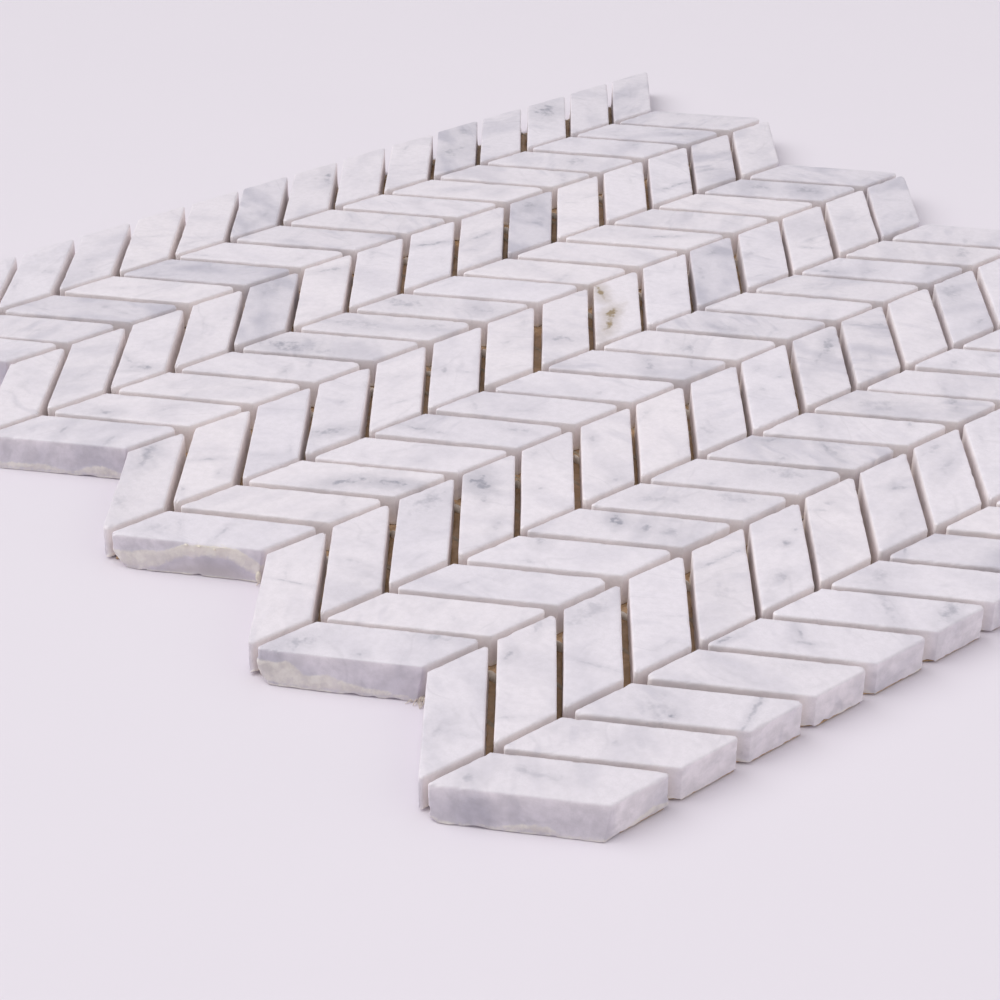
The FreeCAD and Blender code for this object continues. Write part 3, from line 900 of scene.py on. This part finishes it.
def glue_film(column, material):
    """Dried glue round the net under one column: it closes the joint floors and thins out under the chips."""
    rng = np.random.default_rng(FILM_SEED + column)
    parts = MeshParts()
    middle = column_y(column)
    low, high = strip_sides(column, FILM_SIDE_SETBACK)
    half = end_reach(column, middle, FILM_SETBACK)[1]
    steps_x = int(2 * half / FILM_CELL)
    steps_y = int((high - low) / FILM_CELL)
    grid_a, grid_y = np.meshgrid(
        np.linspace(-half, half, steps_x + 1), np.linspace(low, high, steps_y + 1), indexing="ij")
    grid_x = grid_a + lean_of(column) * SLOPE * (grid_y - middle)

    # How far each point is from the joints, the seams, the strands and the sheet's own straight side
    joint_phase = (grid_a / CHIP_PITCH + CHIPS / 2) % 1.0
    from_joint = np.minimum(joint_phase, 1 - joint_phase) * CHIP_PITCH
    from_seam = np.minimum(grid_y - (middle - COLUMN_PITCH / 2), middle + COLUMN_PITCH / 2 - grid_y)
    from_row, from_weft = (np.abs((grid / NET_PITCH) % 1.0 - 0.5) * NET_PITCH for grid in (grid_y, grid_x))
    near = np.minimum(np.minimum(from_joint / (2.6 * MM), from_seam / (2.4 * MM)),
                      np.minimum(from_row, from_weft) / (1.5 * MM))
    from_side = np.full_like(grid_y, COLUMN_PITCH)
    if column == 0:
        from_side = grid_y - low
    if column == COLUMNS - 1:
        from_side = high - grid_y

    patch = patch_noise(rng, steps_x, steps_y)
    keep_point = (np.minimum(from_joint, from_seam) < FILM_FLOOR_REACH) | (near < 0.75 + 0.8 * patch)
    keep_point |= from_side < FILM_SIDE_REACH
    keep_point &= ~((from_side < FILM_MOUTH_DEPTH) & (from_joint < FILM_MOUTH_HALF))
    keep_point &= np.abs(grid_x) < cad_high.x - FILM_END_CLEARANCE
    keep = (keep_point[:-1, :-1].astype(int) + keep_point[1:, :-1] + keep_point[1:, 1:]
            + keep_point[:-1, 1:]) >= 3
    ease_rims(keep, grid_x, grid_y)
    top = STRAND_LAYER * (1.55 + 0.3 * np.clip(patch, -0.6, 1.0))
    underside = np.full_like(top, STRAND_LAYER * 0.5)
    vertices = np.concatenate([
        np.stack([grid_x, grid_y, level], axis=-1).reshape(-1, 3) for level in (top, underside)])
    faces = film_faces(keep, steps_y + 1, grid_x.size)
    used = sorted({index for face in faces for index in face})
    renumber = {old: new for new, old in enumerate(used)}
    parts.add(vertices[used], [[renumber[index] for index in face] for face in faces])
    return parts.build(f"glue_film_{column + 1:02d}", material)


def patch_noise(rng, steps_x, steps_y):
    """Smooth random patches over a grid, about zero."""
    knots = rng.uniform(-1, 1, (steps_x // 6 + 3, steps_y // 6 + 3))
    at_x = np.linspace(0, knots.shape[0] - 1.001, steps_x + 1)
    at_y = np.linspace(0, knots.shape[1] - 1.001, steps_y + 1)
    low_x, low_y = at_x.astype(int), at_y.astype(int)
    part_x, part_y = (at_x - low_x)[:, None], (at_y - low_y)[None, :]
    return (knots[np.ix_(low_x, low_y)] * (1 - part_x) * (1 - part_y)
            + knots[np.ix_(low_x + 1, low_y)] * part_x * (1 - part_y)
            + knots[np.ix_(low_x, low_y + 1)] * (1 - part_x) * part_y
            + knots[np.ix_(low_x + 1, low_y + 1)] * part_x * part_y)


def ease_rims(keep, grid_x, grid_y):
    """Draws the stepped rims inside a grid of kept cells into smooth lines; the grid's own edge stays."""
    rows, columns = keep.shape
    partners = {}

    def link(first, second):
        partners.setdefault(first, []).append(second)
        partners.setdefault(second, []).append(first)

    for i in range(rows + 1):
        for j in range(columns + 1):
            if 0 < j < columns and i < rows and keep[i, j - 1] != keep[i, j]:
                link((i, j), (i + 1, j))
            if 0 < i < rows and j < columns and keep[i - 1, j] != keep[i, j]:
                link((i, j), (i, j + 1))
    inner = [point for point in partners if 0 < point[0] < rows and 0 < point[1] < columns]
    for _ in range(FILM_RIM_ROUNDS):
        for grid in (grid_x, grid_y):
            before = grid.copy()
            for point in inner:
                others = partners[point]
                grid[point] = before[point] / 2 + sum(before[other] for other in others) / len(others) / 2


def film_faces(keep, row, layer):
    """Top, underside and rim of the kept cells of a grid, as one closed skin."""
    faces = []
    rows, columns = keep.shape
    for i, j in np.argwhere(keep).tolist():
        a, b, c, d = i * row + j, (i + 1) * row + j, (i + 1) * row + j + 1, i * row + j + 1
        faces += [[a, b, c, d], [d + layer, c + layer, b + layer, a + layer]]
        sides = ((a, b, (i, j - 1)), (b, c, (i + 1, j)), (c, d, (i, j + 1)), (d, a, (i - 1, j)))
        for start, end, other in sides:
            inside = 0 <= other[0] < rows and 0 <= other[1] < columns
            if not (inside and keep[other]):
                faces.append([start, start + layer, end + layer, end])
    return faces


def loose_fibres(material):
    """Short net fibres that stick out from under the near chips and lie on the table."""
    rng = np.random.default_rng(FIBRE_SEED)
    parts = MeshParts()
    for root, number, length in FIBRE_TUFTS:
        for _ in range(number):
            heading = math.radians(rng.normal(225, 38))
            reach = length * rng.uniform(0.5, 1.0) * MM
            steps = np.linspace(0, 1, 7)
            bend = rng.normal(0, 0.9)
            turn = heading + bend * steps
            start = np.array([root[0] + rng.normal(0, 0.25), root[1] + rng.normal(0, 0.7)]) * MM
            flat = start + np.cumsum(np.column_stack([np.cos(turn), np.sin(turn)]) * reach / 7, axis=0)
            rise = (0.5 * (1 - steps) + rng.uniform(0.1, 0.5) * np.sin(steps * math.pi) + 0.12) * MM
            yarn(parts, np.column_stack([flat, rise]), rng.uniform(0.14, 0.26) * MM, 0.16 * MM, sides=5)
    return parts.build("loose_net_fibres", material)


def joint_end_lumps(rng):
    """Lumps of glue pushed up where the joints of the odd columns run into the next seam."""
    lumps = []
    for column in range(1, COLUMNS - 1, 2):
        for place in range(CHIPS - 1):
            if rng.uniform() < 0.15:
                continue
            y = column_y(column) / MM + rng.uniform(11.2, 12.4)
            x = (chip_x(place) + CHIP_PITCH / 2) / MM + SLOPE * (y - column_y(column) / MM)
            size = rng.uniform(0.75, 1.1)
            lumps.append(((x, y, 0.4), (0.95 * size, 2.0 * size, rng.uniform(1.0, 2.2))))
    return lumps


def crumb_lumps():
    """The glossy crumbs of glue as lumps on their near face."""
    column, place = CRUMB_CHIP
    sine, cosine = math.sin(LEAN), math.cos(LEAN)
    reach = CHIP_EDGE / 2 * cosine / MM - 0.15
    lumps = []
    for share, height, half in GLUE_CRUMBS:
        along = (0.5 - share) * CHIP_ACROSS / cosine / MM
        x = chip_x(place) / MM - sine * along - cosine * reach
        y = column_y(column) / MM + cosine * along - sine * reach
        lumps.append(((x, y, CHIP_BOTTOM / MM + height), (half, half * 1.6, half * 0.8)))
    return lumps


def glue_lumps(material):
    """Small uneven lumps of dried glue at the feet of the near chips and at the ends of joints."""
    rng = np.random.default_rng(LUMP_SEED)
    parts = MeshParts()
    count, rings = 14, 9
    angles = np.arange(count) / count * 2 * math.pi
    for middle, half_sizes in GLUE_LUMPS + tuple(joint_end_lumps(rng)) + tuple(crumb_lumps()):
        shape = []
        for tier in np.linspace(-math.pi / 2 * 0.94, math.pi / 2 * 0.94, rings):
            round_size = math.cos(tier) * (1 + wavy(rng, count, 6, 0.16))
            shape.append(np.column_stack([
                round_size * np.cos(angles), round_size * np.sin(angles), np.full(count, math.sin(tier))]))
        placed = (np.concatenate(shape) * np.array(half_sizes) + np.array(middle)) * MM
        placed[:, 2] = np.maximum(placed[:, 2], cad_low.z)
        parts.add(placed, ring_faces(rings, count))
    return parts.build("glue_lumps", material)


def floor_material():
    """Pale, faintly uneven table top."""
    material, tree = new_material("table_top")
    place = object_place(tree)
    colour = blend(place.noise(14.0, 4.0, 0.6), TABLE_DARK, TABLE_PALE)
    surface(tree, colour, 0.6, place.noise(900.0, 3.0, 0.6), 0.05, 0.1 * MM)
    return material


def floor():
    """The table that the sheet lies on."""
    mesh = bpy.data.meshes.new("table_top")
    level = cad_low.z - TABLE_GAP
    corners = [(x * TABLE_HALF, y * TABLE_HALF, level) for x, y in ((-1, -1), (1, -1), (1, 1), (-1, 1))]
    mesh.from_pydata(corners, [], [(0, 1, 2, 3)])
    mesh.materials.append(floor_material())
    put("table_top", mesh)


def camera():
    """The photograph's view."""
    data = bpy.data.cameras.new("photo_view")
    data.lens = VIEW_LENS
    data.sensor_width = SENSOR_WIDTH
    data.clip_start = 0.01
    view = put("photo_view", data)
    level = math.cos(VIEW_ELEVATION)
    ahead = Vector((
        math.sin(VIEW_AZIMUTH) * level, math.cos(VIEW_AZIMUTH) * level, -math.sin(VIEW_ELEVATION)))
    turned = ahead.to_track_quat("-Z", "Y").to_matrix() @ Matrix.Rotation(VIEW_ROLL, 3, "Z")
    view.matrix_world = Matrix.Translation(VIEW_TARGET - ahead * VIEW_DISTANCE) @ turned.to_4x4()
    bpy.context.scene.camera = view


def soft_sun(name, towards, spread, strength):
    """A broad distant light from one direction, the same over the whole table."""
    data = bpy.data.lights.new(name, "SUN")
    data.angle = math.radians(spread)
    data.energy = strength
    put(name, data).rotation_euler = (-Vector(towards)).to_track_quat("-Z", "Y").to_euler()


def soft_box(name, place, size, power):
    """A square light above the table that shines straight down."""
    data = bpy.data.lights.new(name, "AREA")
    data.size = size
    data.energy = power
    put(name, data).location = place


def lights():
    """A broad key from the left, a weak fill from the right, a soft box above and pale surroundings."""
    soft_sun("key", *KEY_LIGHT)
    soft_sun("fill", *FILL_LIGHT)
    soft_box("overhead", *OVERHEAD_LIGHT)
    world = bpy.data.worlds.new("surroundings")
    world.use_nodes = True
    background = world.node_tree.nodes["Background"]
    background.inputs["Color"].default_value = (1, 1, 1, 1)
    background.inputs["Strength"].default_value = SURROUNDINGS
    bpy.context.scene.world = world


def dress(piece, slot, *nodes):
    """A piece rides on the sheet and stands for its nodes; its slot is not used."""
    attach(piece, "root")
    if nodes:
        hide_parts(*nodes)


marble = marble_material()
fibre = yarn_material("net_fibre", *NET_YARN)
glue = glue_material("dried_glue", *FILM_GLUE)
for column in range(COLUMNS):
    stones = MeshParts()
    for place in range(CHIPS):
        chip(stones, column, place)
    dress(stones.build(f"marble_chips_{column + 1:02d}", marble, sharp=math.radians(40)), "marble",
          f"chip_column_{column + 1:02d}")
    dress(net_strip(column, fibre), "net", f"backing_net_{column + 1:02d}")
    dress(glue_film(column, glue), "net")
dress(loose_fibres(yarn_material("loose_fibre", *LOOSE_YARN)), "net")
dress(glue_lumps(glue_material("pale_glue", *LUMP_GLUE)), "net")
floor()
camera()
lights()
bpy.context.scene.view_settings.view_transform = "Standard"
